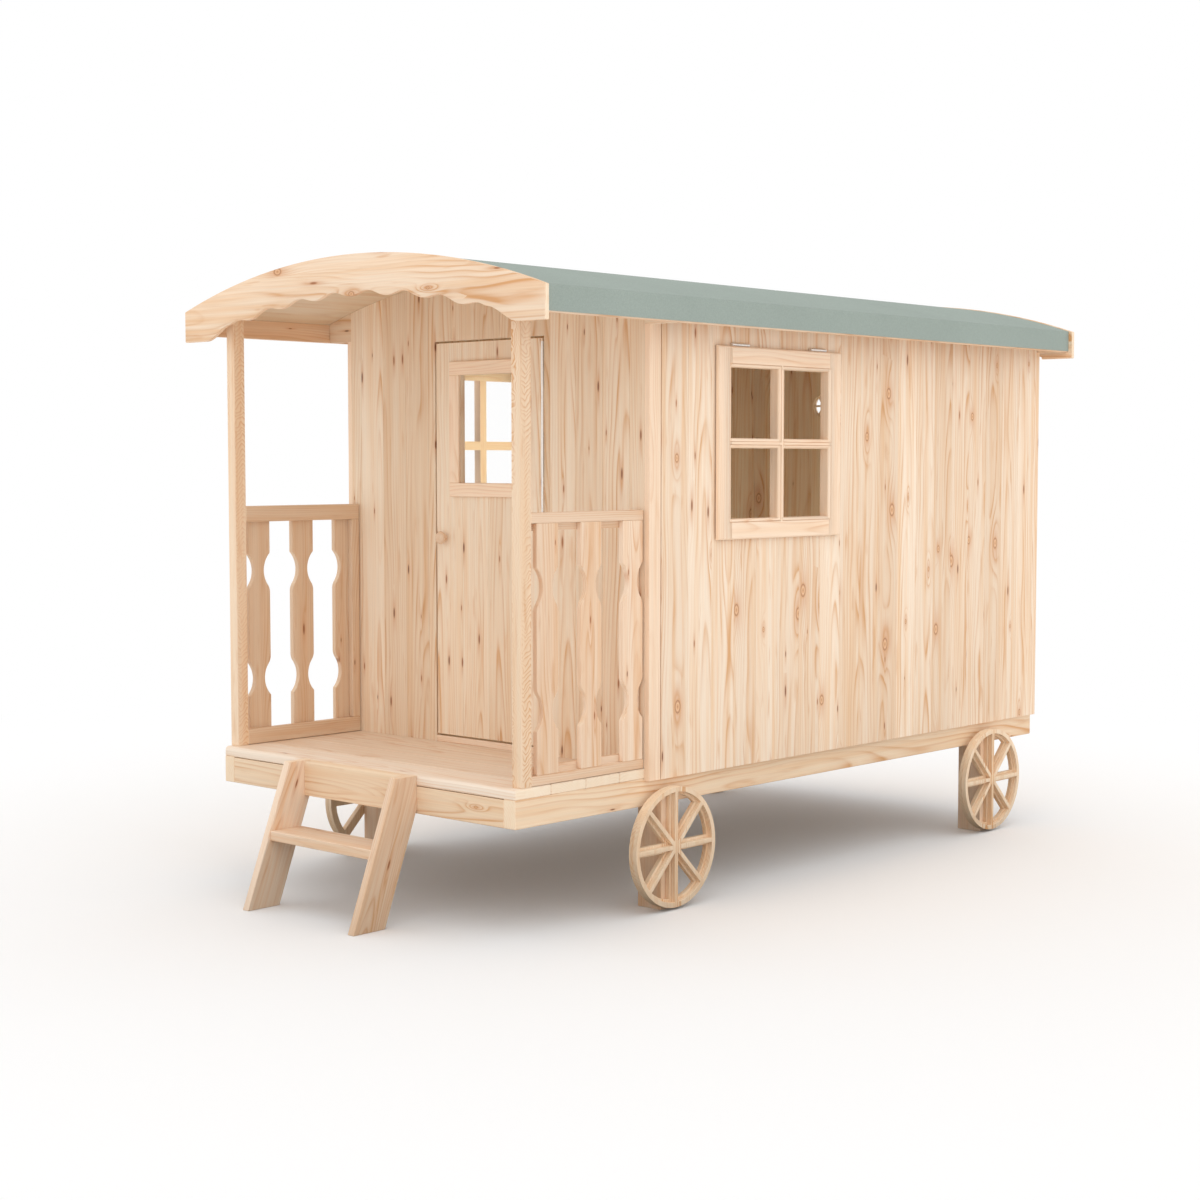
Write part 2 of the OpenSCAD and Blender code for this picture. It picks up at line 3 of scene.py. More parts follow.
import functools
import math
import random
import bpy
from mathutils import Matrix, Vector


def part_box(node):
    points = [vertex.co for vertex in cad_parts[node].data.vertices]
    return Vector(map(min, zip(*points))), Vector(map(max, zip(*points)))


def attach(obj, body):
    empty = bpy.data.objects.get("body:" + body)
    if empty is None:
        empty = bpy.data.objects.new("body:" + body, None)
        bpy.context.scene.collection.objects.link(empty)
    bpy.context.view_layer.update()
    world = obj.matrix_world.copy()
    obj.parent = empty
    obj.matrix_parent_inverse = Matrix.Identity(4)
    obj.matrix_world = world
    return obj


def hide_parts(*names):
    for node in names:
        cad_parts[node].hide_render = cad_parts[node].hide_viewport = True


bl_info = {
    "name": "Playhouse Wagon",
    "version": (1, 0, 0),
    "blender": (4, 5, 0),
    "location": "View3D > Sidebar > Playhouse",
    "description": "Boards, joinery, roofing and finishes of a playhouse wagon",
    "category": "Add Mesh",
}

import bmesh
import bpy
from mathutils import Matrix, Vector

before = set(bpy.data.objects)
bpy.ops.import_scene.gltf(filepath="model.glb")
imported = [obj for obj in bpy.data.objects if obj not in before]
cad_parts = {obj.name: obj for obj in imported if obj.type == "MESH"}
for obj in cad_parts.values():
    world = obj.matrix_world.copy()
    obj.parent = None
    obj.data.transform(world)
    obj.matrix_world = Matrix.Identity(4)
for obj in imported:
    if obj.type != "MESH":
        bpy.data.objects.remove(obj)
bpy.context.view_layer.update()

MM = 0.001  # a millimetre in metres
MARGIN = 0.05 * MM  # keeps a cut clear of a face that lies in the same plane
WELD = 0.02 * MM  # corners closer than this are one corner
IN_PLANE = 0.001 * MM  # a corner closer to a cut than this lies in it
SAME_FACE = math.radians(0.2)  # faces that turn less than this are one face
SHARP = math.radians(32)  # edges that turn more than this are planed and shaded sharp
NARROWEST = 0.3  # the least share of its full width that the last board of a wall has
LADDER_SLOPE = 150 / 396  # how far a stringer leans back over its height
NOSE_STEPS = 8  # chords of a rounded nose
KNUCKLES = 3  # in the barrel of a window hinge
X, Y, Z = Vector((1, 0, 0)), Vector((0, 1, 0)), Vector((0, 0, 1))


def linear(code):
    """The linear colour of an sRGB hex code such as #F3D5B9."""
    shares = [int(code[i:i + 2], 16) / 255 for i in (1, 3, 5)]
    return [s / 12.92 if s <= 0.04045 else ((s + 0.055) / 1.055) ** 2.4 for s in shares] + [1.0]


def amount(label, text, default, **settings):
    """A property for one number."""
    return bpy.props.FloatProperty(
        name=label, description=text, default=default, min=0, **settings)


def triple(label, text, default, subtype, **settings):
    """A property for three numbers, such as a place or a tint."""
    return bpy.props.FloatVectorProperty(
        name=label, description=text, default=default, subtype=subtype, **settings)


def length(label, text, millimetres):
    """A length property with its default in millimetres."""
    return amount(label, text, millimetres * MM, precision=4, unit="LENGTH", subtype="DISTANCE")


def colour(label, text, code):
    """A colour property with its default as an sRGB hex code."""
    return bpy.props.FloatVectorProperty(
        name=label, description=text, default=linear(code), min=0, max=1, size=4,
        subtype="COLOR")


# ---------------------------------------------------------------- settings


class WagonBoards(bpy.types.PropertyGroup):
    """Widths and joints of the boards that the walls, door and floor are made of."""

    side_pitch: length("Side board", "Cover width of a side wall board", 101.5)
    side_first: length("First side board", "Width of the board beside the corner trim", 112)
    end_pitch: length("Front board", "Cover width of a front wall board", 100)
    end_first: length("First front board", "Width of the board at the left corner", 46)
    rear_pitch: length("Rear board", "Cover width of a rear wall board", 110)
    rear_first: length("First rear board", "Width of the board at a rear corner", 50)
    door_pitch: length("Door board", "Cover width of a door board", 109)
    floor_pitch: length("Floor board", "Cover width of a floor board", 132.5)
    gap: length("Joint gap", "Open gap between two boards", 0.3)
    arris: length("Board arris", "Chamfer along the edges of a wall board", 0.6)
    rim_gap: length("Rim gap", "Open joint between the floor and the front rim board", 2)
    wall_gap: length("Wall gap", "Open joint between a railing and the front wall", 3)
    rail_gap: length("Rail gap", "Open joint between a bottom rail and the floor", 1.5)
    trim_gap: length("Trim gap", "Open joint between a corner trim and the side wall", 3.5)
    floor_arris: length("Floor arris", "Chamfer along the edges of a floor board", 2.4)
    timber_arris: length("Timber arris", "Chamfer along the edges of a planed timber", 1.5)
    fine_arris: length("Fine arris", "Chamfer of the wheels, corner trims and header", 0.8)
    casing_arris: length("Casing arris", "Chamfer along the edges of the door's casing", 2)


class WagonFittings(bpy.types.PropertyGroup):
    """Sizes of the joinery and of the small fittings."""

    rail_rebate: length("Rail rebate", "Depth of the rebate that holds the balusters", 19)
    rail_height: length("Rail height", "Height of a top or bottom rail", 46)
    baluster_thickness: length("Baluster thickness", "Thickness of the balusters", 16)
    sash_member: length("Sash member", "Width of a sash member with its moulding", 58.5)
    sash_bar: length("Sash bar", "Width of a glazing bar with its mouldings", 28)
    sash_joint: length("Sash joint", "How far a sash member stops short of its end", 0.15)
    casing_width: length("Casing width", "Width of the casing round the door light", 40)
    casing_joint: length("Casing joint", "Open joint between members of the casing", 0.1)
    header_thickness: length("Header", "Thickness of the header board of the ladder", 24)
    header_rise: length("Header rise", "Height of the header's foot over that of the rim", 4)
    header_nose: length("Header nose", "Rounding of the header and the front floor board", 11)
    header_lip: length("Header lip", "Thickness of the header's lip on the front board", 4)
    disc: length("Wheel disc", "Thickness of one disc of a wheel", 14)
    hinge_length: length("Window hinge", "Length of a window hinge", 77)
    hinge_knuckle: length("Window hinge knuckle", "Diameter of a window hinge's barrel", 9)
    hinge_inset: length("Window hinge inset", "Distance of a hinge from the sash's end", 105)
    hinge_setback: length("Window hinge setback", "Barrel's distance from the sash's face", 10)
    hinge_play: length("Window hinge play", "Gap between knuckles, and their rounding", 0.4)


class WagonFinish(bpy.types.PropertyGroup):
    """Colours of the timber, the felt and the metal."""

    earlywood: colour("Earlywood", "Pale wood between the year rings", "#F8DFC6")
    latewood: colour("Latewood", "Dark line of a year ring", "#DDA573")
    streak: colour("Streak", "Warm streaks along the grain", "#EFC59C")
    resin: colour("Resin", "Wood soaked with resin round knots and pins", "#D89F76")
    knot: colour("Knot", "Middle of a live knot", "#A8673F")
    knot_rim: colour("Knot rim", "Bark line round a knot", "#A6704C")
    dead_knot: colour("Dead knot", "Small dead knots and pitch streaks", "#6A3A28")
    end_grain: colour("End grain", "Tint of sawn end grain", "#FFEACD")
    felt: colour("Felt", "Mineral chips of the roofing felt", "#A0ABA3")
    zinc: colour("Zinc", "Zinc plated steel", "#F7F7F5")
    glass: colour("Glass", "Tint of the panes", "#F4F8F6")


class WagonStage(bpy.types.PropertyGroup):
    """The floor, the light and the camera."""

    floor: colour("Floor", "Colour of the studio floor", "#FBFBFB")
    floor_reach: length("Floor reach", "How far the floor reaches on each side", 60000)
    fade_start: length("Fade start", "Where the floor starts to fade into white", 2000)
    fade_end: length("Fade end", "Where the floor has faded into white", 4500)
    ground: colour("Ground", "Colour that the floor beside the wagon reflects", "#8C857C")
    ground_width: length("Ground width", "Width of the grey ground round the wagon", 2200)
    ground_length: length("Ground length", "Length of the grey ground round the wagon", 3800)
    ground_edge: amount("Ground edge", "Softness of its edge, as a share of its size", 0.15)
    sky: amount("Sky", "Strength of the white surroundings", 1.0)
    sun: amount("Sun", "Strength of the soft key light", 0.25)
    sun_angle: amount(
        "Sun size", "Apparent size of the key light", math.radians(60), subtype="ANGLE")
    sun_from: triple(
        "Sun from", "Where the key light comes from", (1.0, -0.75, 1.5), "DIRECTION")
    room: amount("Room lamp", "Power of the lamp in the room", 4.0, unit="POWER")
    room_tint: triple("Room tint", "Colour of that lamp", (0.84, 1.0, 0.90), "COLOR", min=0)
    window_lamp: amount(
        "Window lamp", "Power of the lamp on the bars of the left window", 20.0, unit="POWER")
    window_tint: triple(
        "Window tint", "Colour of that lamp", (1.0, 0.97, 0.74), "COLOR", min=0)
    camera_place: triple(
        "Camera place", "Where the camera stands", (4.2268, -4.8050, 1.2282), "TRANSLATION",
        unit="LENGTH")
    camera_turn: triple(
        "Camera turn", "How the camera is turned",
        (math.radians(86.129), 0, math.radians(42.451)), "EULER")
    camera_lens: amount("Camera lens", "Focal length on a 36 mm sensor, in millimetres", 61.2)


# ---------------------------------------------------------------- materials


# Sockets of a Mix node, whose names repeat: its share, two values, two colours, the blend
SHARE, VALUE_A, VALUE_B, TINT_A, TINT_B, BLEND = 0, 2, 3, 6, 7, 2


def feed(tree, node, inputs):
    """Gives a node its inputs, in order or by name, as values or links."""
    for key, value in inputs.items() if isinstance(inputs, dict) else enumerate(inputs):
        if isinstance(value, bpy.types.NodeSocket):
            tree.links.new(value, node.inputs[key])
        else:
            node.inputs[key].default_value = value


def add(tree, kind, inputs=(), stops=(), **settings):
    """Adds a node with its settings, its inputs and a ramp's colour stops. Gives its
    outputs."""
    node = tree.nodes.new("ShaderNode" + kind)
    for key, value in settings.items():
        setattr(node, key, value)
    feed(tree, node, inputs)
    for number, (place, tint) in enumerate(stops):
        elements = node.color_ramp.elements
        element = elements[number] if number < 2 else elements.new(place)
        element.position = place
        element.color = tint
    return node.outputs


def new_material(name):
    """An empty material, its tree and its shader."""
    material = bpy.data.materials.new(name)
    material.use_nodes = True
    tree = material.node_tree
    return material, tree, tree.nodes["Principled BSDF"]


def grey(value):
    """A grey, for the stops of a ramp."""
    return (value, value, value, 1)


def pine(name, ring=5.0, contrast=1.0, knots=0.0, pins=0.0, warmth=0.6, curl=0.0,
         wander=1.0, cast=(1, 1, 1), turn=None):
    """Planed softwood. Year rings round a pith that wanders give the long tongues on flat
    sawn faces, and knots push the rings aside. The ring and the curl are in millimetres,
    knots and pins are the shares of places that have one, and the cast tints the wood."""
    finish = bpy.context.scene.wagon_finish
    material, tree, shader = new_material(name)
    node = functools.partial(add, tree)
    pale, dark, warm, resin, heart, bark, black = (
        [share * part for share, part in zip(tint, cast)] + [1.0]
        for tint in (finish.earlywood, finish.latewood, finish.streak, finish.resin, finish.knot,
                     finish.knot_rim, finish.dead_knot))

    if turn is None:
        place = node("Attribute", attribute_name="log")["Vector"]
    else:
        # A piece that keeps its own mesh has no place in a log, so the log is turned to it
        spot = node("TexCoord")["Object"]
        place = node("Mapping", {"Vector": spot, "Rotation": turn,
                                 "Location": (30 * MM, 50 * MM, 3100 * MM)})[0]
    sideways, _, lengthways = node("SeparateXYZ", (place,))

    # Noise drawn out along the grain: waves to a metre across and along it, and detail
    noises = {}
    for use, across, along, detail in (
            ("pith", 5.0, 1.1, 2.0), ("curl", 25.0, 30.0, 1.0), ("strength", 26.0, 1.8, 2.0),
            ("streak", 45.0, 1.2, 3.0), ("smear", 55.0, 6.0, 2.0), ("fibre", 420.0, 5.0, 3.0)):
        drawn = node("VectorMath", (place, (across, across, along)), operation="MULTIPLY")[0]
        noises[use] = node("TexNoise", {
            "Vector": drawn, "Scale": 1.0, "Detail": detail, "Roughness": 0.55})

    # The pith wanders by 15 mm sideways and 30 mm in depth, over about a metre
    log = place
    for use, reach_x, reach_y in (("pith", 30 * wander, 60 * wander), ("curl", 0.25 * curl, curl)):
        swing = node("VectorMath", (noises[use]["Color"], (0.5, 0.5, 0.5)), operation="SUBTRACT")[0]
        log = node("VectorMath", (swing, (reach_x * MM, reach_y * MM, 0), log),
                   operation="MULTIPLY_ADD")[0]
    log = node("VectorMath", (log, (1, 1, 0)), operation="MULTIPLY")[0]
    across, depth, _ = node("SeparateXYZ", (log,))
    radius = node("VectorMath", (log,), operation="LENGTH")["Value"]
    # How steeply the rings stand in the face: 0 where it is flat sawn, 1 if quarter sawn
    stand = node("Math", (across, radius), operation="DIVIDE")[0]
    stand = node("Math", (stand,), operation="ABSOLUTE")[0]
    # A trunk is thinner towards its top, by about a ring in half a metre
    taper = 0.016
    radius = node("Math", (lengthways, taper, radius), operation="MULTIPLY_ADD")[0]
    cut = node("Attribute", attribute_name="cut")["Vector"]
    ends, sides = node("SeparateXYZ", (cut,))[:2]
    if curl:
        # Feathered figure on the side faces, not on their chamfers: arrows 14 mm apart
        width, spacing, steepness, square_on = 24 * MM, 14, 0.35, 0.7
        fold = node("Math", (depth, width), operation="PINGPONG")[0]
        fold = node("Math", (noises["curl"][0], 1.3 * curl * MM, fold),
                    operation="MULTIPLY_ADD")[0]
        fold = node("Math", (fold, steepness), operation="MULTIPLY")[0]
        lean = node("Math", (lengthways, ring / spacing, fold), operation="MULTIPLY_ADD")[0]
        flank = node("Math", (sides, square_on), operation="GREATER_THAN")[0]
        radius = node("Mix", {SHARE: flank, VALUE_A: radius, VALUE_B: lean})[0]

    def scatter(width, height, stretch, least, most, chance):
        """Spots on the face, one at most in each cell of width by height. Gives how far
        it is to the spot in spot sizes, a long soft hill and a short one over the spot,
        whether there is one, and a random number."""
        face = node("CombineXYZ", (sideways, lengthways, 0))[0]
        cell = node("VectorMath", (face, (1 / (width * MM), 1 / (height * MM), 0)),
                    operation="MULTIPLY")[0]
        found = node("TexVoronoi", {"Vector": cell, "Scale": 1.0, "Randomness": 0.85},
                     voronoi_dimensions="2D")
        away = node("VectorMath", (cell, found["Position"]), operation="SUBTRACT")[0]
        away = node("VectorMath", (away, (width * MM, height * MM / stretch, 0)),
                    operation="MULTIPLY")[0]
        lot, growth, other = node("SeparateColor", (found["Color"],))
        there = node("Math", (lot, chance), operation="LESS_THAN")[0]
        size = node("MapRange", (growth, 0, 1, least * MM, most * MM))[0]
        far = node("VectorMath", (away,), operation="LENGTH")["Value"]
        near = node("Math", (far, size), operation="DIVIDE")[0]
        hills = []
        for wide, long in ((2.0, 5.0), (1.7, 2.6)):
            hill = node("VectorMath", (away, (1 / wide, 1 / long, 0)), operation="MULTIPLY")[0]
            hill = node("VectorMath", (hill,), operation="LENGTH")["Value"]
            for operation, others in (("DIVIDE", (size,)), ("POWER", (2.0,)),
                                      ("MULTIPLY", (-1.0,)), ("EXPONENT", ()),
                                      ("MULTIPLY", (there,))):
                hill = node("Math", (hill, *others), operation=operation)[0]
            hills.append(hill)
        return near, hills[0], hills[1], there, other

    # Live knots of 8 by 13 mm to 30 by 48 mm, and pins of 3 by 13 mm to 8 by 38 mm
    near, swell, halo, present, _ = scatter(110, 420, 1.6, 4.0, 15.0, knots)
    pin, pin_swell, pin_halo, pinned, mood = scatter(62, 260, 4.5, 1.4, 4.2, pins)

    # Year rings, which step aside by 20 mm round a knot and by 6 mm round a pin
    bend = node("Math", (swell, 20 * MM, radius), operation="MULTIPLY_ADD")[0]
    bend = node("Math", (pin_swell, 6 * MM, bend), operation="MULTIPLY_ADD")[0]
    count = node("Math", (bend, ring * MM), operation="DIVIDE")[0]
    count = node("Math", (count,), operation="FRACT")[0]
    late = node("ValToRGB", (count,), (
        (0.0, grey(0.15)), (0.25, grey(0.0)), (0.6, grey(0.25)), (0.88, grey(1.0)),
        (1.0, grey(0.15))))[0]
    # They are faint in places, strong beside a knot and calm where they stand steeply
    strength = node("MapRange", (noises["strength"][0], 0.40, 0.64, 0.15 * contrast,
                                 contrast))[0]
    strength = node("Math", (swell, 0.5 * contrast, strength), operation="MULTIPLY_ADD")[0]
    calm = node("MapRange", (stand, 0.35, 0.85, 1.0, 0.4))[0]
    strength = node("Math", (strength, calm), operation="MULTIPLY")[0]
    lines = node("Math", (late, strength), operation="MULTIPLY", use_clamp=True)[0]

    # Broad warm bands, short darker smears, and the glow round knots and pins
    streak = node("MapRange", (noises["streak"][0], 0.42, 0.70, 0.0, warmth))[0]
    smear = node("MapRange", (noises["smear"][0], 0.60, 0.76, 0.0, 0.6 * warmth),
                 interpolation_type="SMOOTHSTEP")[0]
    glow = node("Math", (halo, 0.6), operation="MULTIPLY")[0]
    pin_glow = node("Math", (pin_halo, 0.7), operation="MULTIPLY")[0]
    # A knot has rings of its own and a bark line. A pin is a sliver, here and there black
    eye = node("ValToRGB", (near,), (
        (0.0, heart), (0.16, resin), (0.3, dark), (0.45, warm), (0.6, resin), (0.78, bark),
        (0.9, resin), (1.0, dark)))[0]
    mood = node("Math", (mood, 2.0), operation="POWER")[0]
    sliver = node("Mix", {SHARE: mood, TINT_A: heart, TINT_B: black}, data_type="RGBA")[BLEND]
    edges = []
    for distance, there, inner, outer, most in (
            (near, present, 0.75, 1.25, 0.8), (pin, pinned, 0.4, 1.25, 0.85)):
        edge = node("MapRange", (distance, inner, outer, most, 0.0),
                    interpolation_type="SMOOTHSTEP")[0]
        edges.append(node("Math", (edge, there), operation="MULTIPLY")[0])
    # Fibres drawn about 2 mm apart, boards that differ in tone, where some pieces have a tone set
    # as painted light or painted shade, and the tint of sawn ends
    fibre = noises["fibre"][0]
    pores = node("MapRange", (fibre, 0.3, 0.7, 0.95, 1.025))[0]
    tone = node("Attribute", attribute_name="tone")["Fac"]
    tone = node("MapRange", (tone, -1, 1, 0, 1))[0]
    dull, bright = (0.90, 0.85, 0.80, 1), (1.04, 1.05, 1.06, 1)
    tint = node("Mix", {SHARE: tone, TINT_A: dull, TINT_B: bright}, data_type="RGBA")[BLEND]
    sawn = node("Math", (ends, 0.65), operation="MULTIPLY")[0]
    body = pale
    for share, layer, kind in (
            (streak, warm, "MIX"), (lines, dark, "MIX"), (smear, dark, "MIX"),
            (1.0, pores, "MULTIPLY"), (1.0, tint, "MULTIPLY"), (glow, resin, "MIX"),
            (edges[0], eye, "MIX"), (pin_glow, resin, "MIX"), (edges[1], sliver, "MIX"),
            (sawn, finish.end_grain[:], "MIX")):
        body = node("Mix", {SHARE: share, TINT_A: body, TINT_B: layer}, data_type="RGBA",
                    blend_type=kind)[BLEND]
    rough = node("MapRange", (fibre, 0, 1, 0.5, 0.68))[0]
    height = node("Math", (lines, 0.6, fibre), operation="MULTIPLY_ADD")[0]
    bump = node("Bump", {"Strength": 0.25, "Distance": 0.4 * MM, "Height": height})[0]
    feed(tree, shader, {"Base Color": body, "Roughness": rough, "Normal": bump,
                        "Specular IOR Level": 0.3})
    return material


def roofing_felt():
    """Bitumen felt with pressed mineral chips: matt, finely mottled, slightly rough."""
    finish = bpy.context.scene.wagon_finish
    material, tree, shader = new_material("mineral_felt")
    spot = add(tree, "TexCoord")["Object"]
    # Chips of about 1 mm, drawn at 2.5 mm so that they still show from a few metres
    chips = add(tree, "TexVoronoi", {"Vector": spot, "Scale": 400.0})["Color"]
    chips = add(tree, "SeparateColor", (chips,))[0]
    clouds = add(tree, "TexNoise", {"Vector": spot, "Scale": 3.0, "Detail": 4.0,
                                    "Roughness": 0.6})[0]
    shade = add(tree, "Math", (chips, 0.12, 0.91), operation="MULTIPLY_ADD")[0]
    cloud = add(tree, "MapRange", (clouds, 0.3, 0.7, 0.97, 1.03))[0]
    shade = add(tree, "Math", (shade, cloud), operation="MULTIPLY")[0]
    body = add(tree, "Mix", {SHARE: 1.0, TINT_A: finish.felt[:], TINT_B: shade},
               data_type="RGBA", blend_type="MULTIPLY")[BLEND]
    bump = add(tree, "Bump", {"Strength": 0.35, "Distance": 0.5 * MM, "Height": chips})[0]
    feed(tree, shader, {"Base Color": body, "Normal": bump, "Roughness": 0.9,
                        "Specular IOR Level": 0.2})
    return material


def zinc_plate():
    """Zinc plated steel: bright, with the cloudy patches that plating leaves."""
    finish = bpy.context.scene.wagon_finish
    material, tree, shader = new_material("zinc_plated_steel")
    spot = add(tree, "TexCoord")["Object"]
    patch = add(tree, "TexNoise", {"Vector": spot, "Scale": 120.0, "Detail": 3.0})[0]
    shade = add(tree, "MapRange", (patch, 0.3, 0.7, 0.92, 1.0))[0]
    body = add(tree, "Mix", {SHARE: 1.0, TINT_A: finish.zinc[:], TINT_B: shade},
               data_type="RGBA", blend_type="MULTIPLY")[BLEND]
    rough = add(tree, "MapRange", (patch, 0, 1, 0.38, 0.55))[0]
    feed(tree, shader, {"Base Color": body, "Roughness": rough, "Metallic": 1.0})
    return material


def clear_sheet():
    """A clear acrylic pane: almost all light passes, with a faint sheen of the surroundings."""
    finish = bpy.context.scene.wagon_finish
    material, tree, shader = new_material("clear_acrylic")
    spot = add(tree, "TexCoord")["Object"]
    wave = add(tree, "TexNoise", {"Vector": spot, "Scale": 4.0, "Detail": 1.0})[0]
    bump = add(tree, "Bump", {"Strength": 0.1, "Distance": 0.2 * MM, "Height": wave})[0]
    feed(tree, shader, {"Base Color": finish.glass[:], "Normal": bump, "Roughness": 0.03,
                        "Metallic": 0.5, "Alpha": 0.01})
    return material


# What sets each lot of softwood apart: walls and rim boards are flat sawn and lively, the
# joinery is clear, and the wood under the roof is drawn as dull as its shade makes it
PINES = {
    "wall_pine": dict(ring=9.0, knots=0.42, pins=0.28, warmth=0.85, wander=1.2,
                      cast=(1.03, 1.08, 1.11)),
    "porch_pine": dict(ring=8.0, knots=0.04, pins=0.6, cast=(0.97, 1.02, 1.03)),
    "floor_pine": dict(ring=8.0, contrast=0.6, pins=0.12, warmth=0.4,
                       cast=(0.98, 1.06, 1.14)),
    "rim_pine": dict(ring=8.0, knots=0.2, pins=0.25, cast=(1.02, 1.03, 0.98)),
    "fascia_pine": dict(ring=8.0, contrast=1.4, knots=0.4, pins=0.3, warmth=0.9,
                        wander=2.0, cast=(0.97, 0.96, 0.93)),
    "frame_pine": dict(contrast=0.8, knots=0.06, pins=0.6, warmth=0.8),
    # Painted shade: the left railing's wood is darker for the shade under the roof
    "shaded_rail_pine": dict(contrast=0.7, knots=0.15, pins=0.7, cast=(0.92, 0.94, 0.94)),
    "post_pine": dict(contrast=1.3, curl=28.0, cast=(1.0, 1.01, 0.98)),
    "clear_pine": dict(ring=4.5, contrast=0.55, warmth=0.35, cast=(1.06, 1.06, 1.05)),
    "wheel_pine": dict(contrast=1.5, cast=(1.0, 1.02, 0.98)),
    # Painted shade: the ceiling is darker for the shade under the roof
    "ceiling_pine": dict(ring=9.0, contrast=0.3, cast=(0.86, 0.89, 0.85),
                         turn=(math.radians(90), 0, 0)),
    "turned_pine": dict(ring=3.0, contrast=0.6, cast=(0.9, 0.88, 0.85),
                        turn=(math.radians(90), 0, 0)),
}
# How dull (-1) or bright (1) a piece is among its lot, where it isn't left to chance, and where
# light and shade are painted on it
TONES_AND_PAINTED_LIGHT = {
    # Painted light on the front floor board, painted shade on the boards behind it under the roof
    "floor_deck": (1, -0.2, -0.5, -0.4),
    "porch_post_left": 0.4,
    "porch_post_right": -0.4,
    # Painted shade: the left railing is darker for the shade under the roof
    "railing_left": -0.9,
    "corner_trim_left": 0.1,
    "corner_trim_right": 0.1,
    "window_sash": 0.6,
    "door_casing": 0.2,
    # Painted shade: the left eave board is darker for the shade under the roof
    "eave_board_left": -0.9,
    "eave_board_right": 0,
    "fascia_front": 1,
    "fascia_rear": 1,
}
OTHERS = {
    "mineral_felt": roofing_felt,
    "zinc_plated_steel": zinc_plate,
    "clear_acrylic": clear_sheet,
}


def finish_of(name):
    """The material of that name, made the first time that a piece needs it."""
    made = bpy.data.materials.get(name)
    if made:
        return made
    return pine(name, **PINES[name]) if name in PINES else OTHERS[name]()


def refinish(node, finish):
    """Gives a CAD node whose shape is right its finish."""
    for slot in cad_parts[node].material_slots:
        slot.material = finish_of(finish)


# ---------------------------------------------------------------- modelling


def cad_shape(*names):
    """CAD nodes as one mesh with welded edges and whole flat faces."""
    whole = bmesh.new()
    for name in names:
        whole.from_mesh(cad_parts[name].data)
    bmesh.ops.remove_doubles(whole, verts=whole.verts, dist=WELD)
    tidy(whole)
    return whole


def tidy(shape):
    """Joins the coplanar faces of a shape."""
    bmesh.ops.dissolve_limit(
        shape, angle_limit=SAME_FACE, verts=shape.verts, edges=shape.edges)


def slice_at(shape, place, away, clear=False):
    """Cuts a shape's faces along a plane, and may clear the side that away points to."""
    bmesh.ops.bisect_plane(
        shape, geom=shape.verts[:] + shape.edges[:] + shape.faces[:], dist=IN_PLANE,
        plane_co=place, plane_no=away, clear_outer=clear)


def cut_off(shape, place, away):
    """Cuts off what lies beyond a plane, on the side that away points to, and closes it."""
    slice_at(shape, place, away, clear=True)
    rim = [edge for edge in shape.edges if edge.is_boundary]
    if rim:
        bmesh.ops.triangle_fill(shape, use_beauty=True, edges=rim)
        bmesh.ops.recalc_face_normals(shape, faces=shape.faces)
        tidy(shape)


def between(shape, axis, low=None, high=None):
    """A closed copy of what lies between two places along an axis."""
    part = shape.copy()
    if low is not None:
        cut_off(part, axis * low, -axis)
    if high is not None:
        cut_off(part, axis * high, axis)
    return part


def reach(shape, axis):
    """The lowest and highest place of a shape along an axis."""
    places = [vert.co.dot(axis) for vert in shape.verts]
    return min(places), max(places)


def ease(shape, width):
    """Planes a chamfer along every sharp edge."""
    edges = [edge for edge in shape.edges
             if edge.is_manifold and edge.calc_face_angle(0) > SHARP]
    bmesh.ops.bevel(
        shape, geom=edges, offset=width, offset_type="OFFSET", affect="EDGES", segments=1,
        profile=0.5, material=-1, clamp_overlap=True)


def lay_grain(shape, along, face, name, tone=None):
    """Gives a board its place in the log: across, depth from the pith and along, and
    marks its sawn ends and its side faces."""
    draw = random.Random(name)
    across = along.cross(face)
    middle = sum((axis * sum(reach(shape, axis)) / 2 for axis in (X, Y, Z)), Vector())
    pith = Vector((draw.uniform(-60, 60) * MM, draw.uniform(30, 100) * MM, draw.uniform(2, 80)))
    shade = draw.uniform(-1, 1) if tone is None else tone
    log = shape.verts.layers.float_vector.new("log")
    light = shape.verts.layers.float.new("tone")
    cut = shape.faces.layers.float_vector.new("cut")
    for vert in shape.verts:
        away = vert.co - middle
        vert[log] = Vector((away.dot(across), away.dot(face), away.dot(along))) + pith
        vert[light] = shade
    for side in shape.faces:
        side[cut] = (side.normal.dot(along) ** 2, side.normal.dot(across) ** 2, 0)


def board(shape, along, face, name, arris, tone=None):
    """Finishes one board: eased edges and its own grain."""
    ease(shape, arris)
    shape.normal_update()
    lay_grain(shape, along, face, name, tone)
    return shape


def boards(shape, axis, first, pitch, along, face, name, arris, tones=()):
    """Cuts a slab into boards across an axis. The first ones may be given their tones, which can be
    painted light or shade.
    """
    joint = bpy.context.scene.wagon_boards.gap
    low, high = reach(shape, axis)
    joints = [low + first]
    while high - joints[-1] - pitch > NARROWEST * pitch:
        joints.append(joints[-1] + pitch)
    starts = [None] + [place + joint / 2 for place in joints]
    stops = [place - joint / 2 for place in joints] + [None]
    cut = []
    for number, (start, stop) in enumerate(zip(starts, stops)):
        part = between(shape, axis, start, stop)
        if part.faces:
            tone = tones[number] if number < len(tones) else None
            cut.append(board(part, along, face, f"{name} {number}", arris, tone))
    return cut


